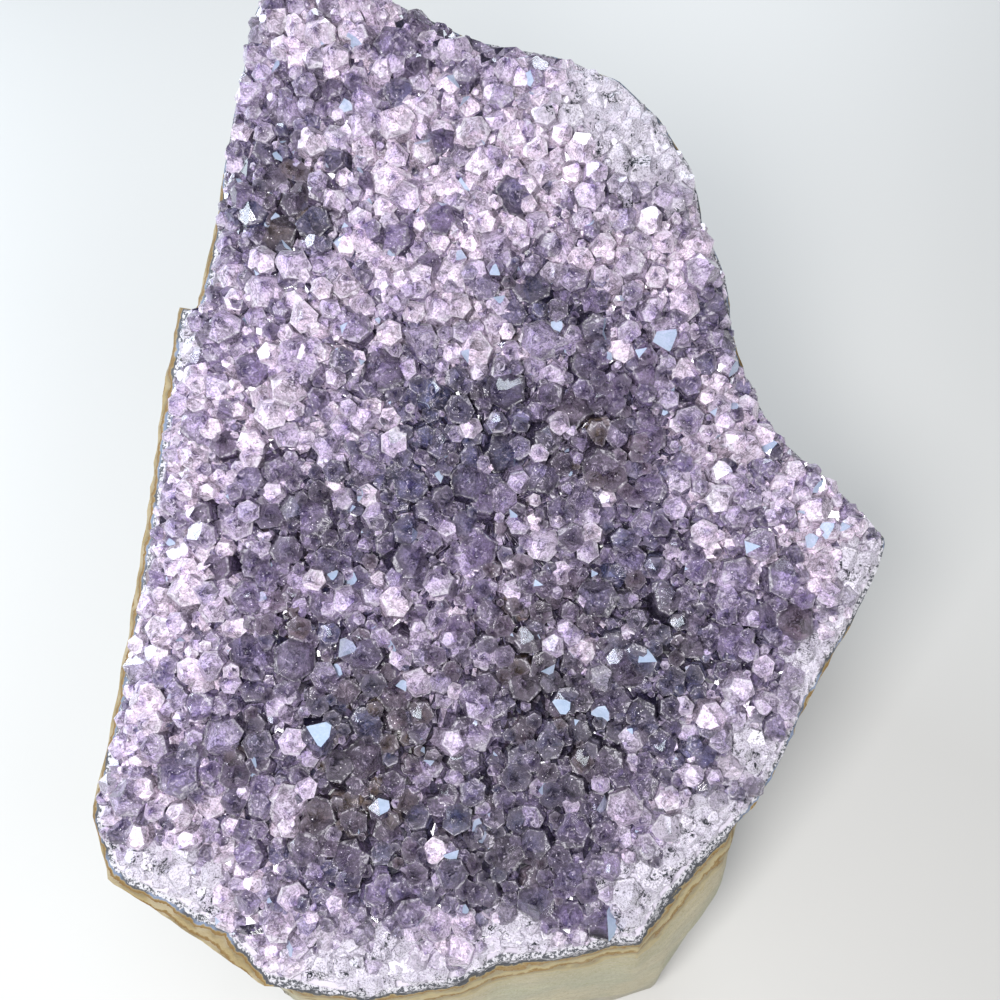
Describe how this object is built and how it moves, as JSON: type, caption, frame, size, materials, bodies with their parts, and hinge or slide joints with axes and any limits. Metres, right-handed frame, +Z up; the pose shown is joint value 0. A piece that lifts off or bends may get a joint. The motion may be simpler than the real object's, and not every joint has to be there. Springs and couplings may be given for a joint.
{
  "type": "amethyst geode",
  "caption": "Piece of an amethyst geode's wall, crystal face leaning back over a rough stone body, standing on a flat sawn base.",
  "frame": {"origin": "middle of the object's box on the plane of the flat sawn base", "axes": "+Z up; -Y to the front, where the sawn wall and the low side of the crystal face are; +X to the right"},
  "size_m": [0.161, 0.2025, 0.1601],
  "materials": {
    "stone": "matte",
    "amethyst": "gloss"
  },
  "bodies": {
    "root": {"matrix": "stone", "crystal_crust": "amethyst"}
  },
  "joints": []
}
